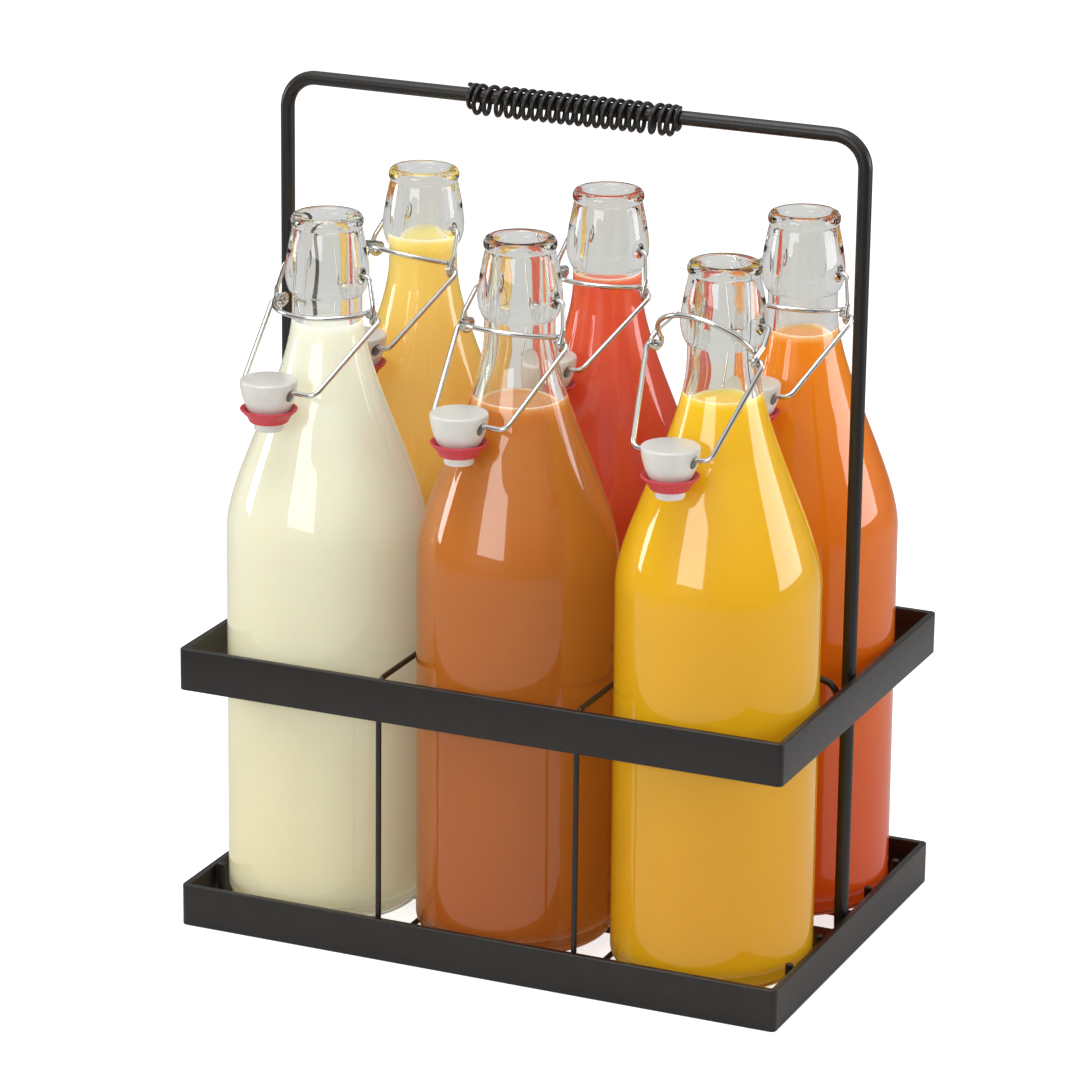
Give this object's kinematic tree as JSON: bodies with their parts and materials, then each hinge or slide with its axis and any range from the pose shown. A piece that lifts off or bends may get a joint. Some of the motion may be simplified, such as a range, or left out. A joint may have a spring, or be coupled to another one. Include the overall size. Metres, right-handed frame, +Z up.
{
  "type": "bottle caddy",
  "caption": "Black flat-bar and wire caddy with a coil-gripped handle, carrying swing-top glass bottles of drinks in two rows.",
  "frame": {"origin": "on the surface that it stands on, below the middle of the whole caddy", "axes": "+Z up; +X along the long front bar, to the right; the front faces -Y"},
  "size_m": [0.2822, 0.1938, 0.3716],
  "materials": {
    "coated_steel": "satin black powder coat",
    "clear_glass": "clear moulded glass",
    "zinc_wire": "bright zinc-coated wire",
    "stopper_white": "smooth white",
    "gasket_red": "matt rose red",
    "front_left_drink": "opaque cream liquid",
    "front_middle_drink": "cloudy caramel liquid",
    "front_right_drink": "cloudy yellow orange liquid",
    "back_left_drink": "clear amber yellow liquid",
    "back_middle_drink": "clear red liquid",
    "back_right_drink": "clear deep orange liquid"
  },
  "bodies": {
    "carrier": {"lower_band": "coated_steel", "upper_band": "coated_steel", "handle": "coated_steel", "grip_coil": "coated_steel", "cross_divider_left": "coated_steel", "cross_divider_right": "coated_steel", "long_divider": "coated_steel", "floor_wire_1": "coated_steel", "floor_wire_2": "coated_steel", "floor_wire_3": "coated_steel", "floor_wire_4": "coated_steel", "floor_strip": "coated_steel"},
    "front_left_bottle": {"front_left_glass": "clear_glass", "front_left_drink": "front_left_drink"},
    "front_left_lever": {"front_left_lever": "zinc_wire"},
    "front_left_bail": {"front_left_bail": "zinc_wire"},
    "front_left_stopper": {"front_left_stopper": "stopper_white", "front_left_gasket": "gasket_red"},
    "front_middle_bottle": {"front_middle_glass": "clear_glass", "front_middle_drink": "front_middle_drink"},
    "front_middle_lever": {"front_middle_lever": "zinc_wire"},
    "front_middle_bail": {"front_middle_bail": "zinc_wire"},
    "front_middle_stopper": {"front_middle_stopper": "stopper_white", "front_middle_gasket": "gasket_red"},
    "front_right_bottle": {"front_right_glass": "clear_glass", "front_right_drink": "front_right_drink"},
    "front_right_lever": {"front_right_lever": "zinc_wire"},
    "front_right_bail": {"front_right_bail": "zinc_wire"},
    "front_right_stopper": {"front_right_stopper": "stopper_white", "front_right_gasket": "gasket_red"},
    "back_left_bottle": {"back_left_glass": "clear_glass", "back_left_drink": "back_left_drink"},
    "back_left_lever": {"back_left_lever": "zinc_wire"},
    "back_left_bail": {"back_left_bail": "zinc_wire"},
    "back_left_stopper": {"back_left_stopper": "stopper_white", "back_left_gasket": "gasket_red"},
    "back_middle_bottle": {"back_middle_glass": "clear_glass", "back_middle_drink": "back_middle_drink"},
    "back_middle_lever": {"back_middle_lever": "zinc_wire"},
    "back_middle_bail": {"back_middle_bail": "zinc_wire"},
    "back_middle_stopper": {"back_middle_stopper": "stopper_white", "back_middle_gasket": "gasket_red"},
    "back_right_bottle": {"back_right_glass": "clear_glass", "back_right_drink": "back_right_drink"},
    "back_right_lever": {"back_right_lever": "zinc_wire"},
    "back_right_bail": {"back_right_bail": "zinc_wire"},
    "back_right_stopper": {"back_right_stopper": "stopper_white", "back_right_gasket": "gasket_red"}
  },
  "joints": [
    {"name": "front_left_lift", "type": "slide", "parent": "carrier", "child": "front_left_bottle", "axis": [0, 0, 1], "range_m": [0, 0.135]},
    {"name": "front_left_lever_pivot", "type": "hinge", "parent": "front_left_bottle", "child": "front_left_lever", "pos_m": [-0.0924, -0.04725, 0.29436], "axis": [-0.982, 0.1891, 0.0017], "range_deg": [0, 84]},
    {"name": "front_left_bail_swing", "type": "hinge", "parent": "front_left_lever", "child": "front_left_bail", "pos_m": [-0.09246, -0.0474, 0.27687], "axis": [0.982, -0.1891, -0.0017], "range_deg": [-98, 0]},
    {"name": "front_left_stopper_tilt", "type": "hinge", "parent": "front_left_bail", "child": "front_left_stopper", "pos_m": [-0.10289, -0.08281, 0.2492], "axis": [-0.982, 0.1891, 0.0017], "range_deg": [0, 180]},
    {"name": "front_middle_lift", "type": "slide", "parent": "carrier", "child": "front_middle_bottle", "axis": [0, 0, 1], "range_m": [0, 0.135]},
    {"name": "front_middle_lever_pivot", "type": "hinge", "parent": "front_middle_bottle", "child": "front_middle_lever", "pos_m": [-0.00155, -0.04725, 0.29445], "axis": [-0.9767, 0.2147, -0.0039], "range_deg": [0, 70]},
    {"name": "front_middle_bail_swing", "type": "hinge", "parent": "front_middle_lever", "child": "front_middle_bail", "pos_m": [-0.00241, -0.05144, 0.27748], "axis": [0.9767, -0.2147, 0.0039], "range_deg": [-104, 0]},
    {"name": "front_middle_stopper_tilt", "type": "hinge", "parent": "front_middle_bail", "child": "front_middle_stopper", "pos_m": [-0.01295, -0.08365, 0.24618], "axis": [-0.9767, 0.2147, -0.0039], "range_deg": [0, 180]},
    {"name": "front_right_lift", "type": "slide", "parent": "carrier", "child": "front_right_bottle", "axis": [0, 0, 1], "range_m": [0, 0.135]},
    {"name": "front_right_lever_pivot", "type": "hinge", "parent": "front_right_bottle", "child": "front_right_lever", "pos_m": [0.09135, -0.04725, 0.29445], "axis": [-0.9806, 0.1959, -0.0039], "range_deg": [0, 34]},
    {"name": "front_right_bail_swing", "type": "hinge", "parent": "front_right_lever", "child": "front_right_bail", "pos_m": [0.08873, -0.06055, 0.28337], "axis": [0.9806, -0.1959, 0.0039], "range_deg": [-115, 0]},
    {"name": "front_right_stopper_tilt", "type": "hinge", "parent": "front_right_bail", "child": "front_right_stopper", "pos_m": [0.08396, -0.08521, 0.24484], "axis": [-0.9806, 0.1959, -0.0039], "range_deg": [0, 180]},
    {"name": "back_left_lift", "type": "slide", "parent": "carrier", "child": "back_left_bottle", "axis": [0, 0, 1], "range_m": [0, 0.102]},
    {"name": "back_left_lever_pivot", "type": "hinge", "parent": "back_left_bottle", "child": "back_left_lever", "pos_m": [-0.0908, 0.04725, 0.29456], "axis": [0.9252, -0.3795, -0.0068], "range_deg": [-28, 0]},
    {"name": "back_left_bail_swing", "type": "hinge", "parent": "back_left_lever", "child": "back_left_bail", "pos_m": [-0.09309, 0.04195, 0.27804], "axis": [0.9252, -0.3795, -0.0068], "range_deg": [-104, 0]},
    {"name": "back_left_stopper_tilt", "type": "hinge", "parent": "back_left_bail", "child": "back_left_stopper", "pos_m": [-0.10574, 0.01167, 0.24581], "axis": [-0.9252, 0.3795, 0.0068], "range_deg": [0, 180]},
    {"name": "back_middle_lift", "type": "slide", "parent": "carrier", "child": "back_middle_bottle", "axis": [0, 0, 1], "range_m": [0, 0.102]},
    {"name": "back_middle_lever_pivot", "type": "hinge", "parent": "back_middle_bottle", "child": "back_middle_lever", "pos_m": [-0.00125, 0.04725, 0.29441], "axis": [-0.9438, 0.3305, -0.0028], "range_deg": [0, 74]},
    {"name": "back_middle_bail_swing", "type": "hinge", "parent": "back_middle_lever", "child": "back_middle_bail", "pos_m": [-0.00217, 0.0445, 0.27715], "axis": [0.9438, -0.3305, 0.0028], "range_deg": [-102, 0]},
    {"name": "back_middle_stopper_tilt", "type": "hinge", "parent": "back_middle_bail", "child": "back_middle_stopper", "pos_m": [-0.01362, 0.01153, 0.24718], "axis": [-0.9438, 0.3305, -0.0028], "range_deg": [0, 180]},
    {"name": "back_right_lift", "type": "slide", "parent": "carrier", "child": "back_right_bottle", "axis": [0, 0, 1], "range_m": [0, 0.102]},
    {"name": "back_right_lever_pivot", "type": "hinge", "parent": "back_right_bottle", "child": "back_right_lever", "pos_m": [0.0908, 0.04725, 0.29456], "axis": [-0.9736, 0.2284, -0.0071], "range_deg": [0, 74]},
    {"name": "back_right_bail_swing", "type": "hinge", "parent": "back_right_lever", "child": "back_right_bail", "pos_m": [0.09023, 0.04432, 0.27732], "axis": [0.9736, -0.2284, 0.0071], "range_deg": [-104, 0]},
    {"name": "back_right_stopper_tilt", "type": "hinge", "parent": "back_right_bail", "child": "back_right_stopper", "pos_m": [0.0825, 0.01039, 0.24724], "axis": [-0.9736, 0.2284, -0.0071], "range_deg": [0, 180]}
  ]
}
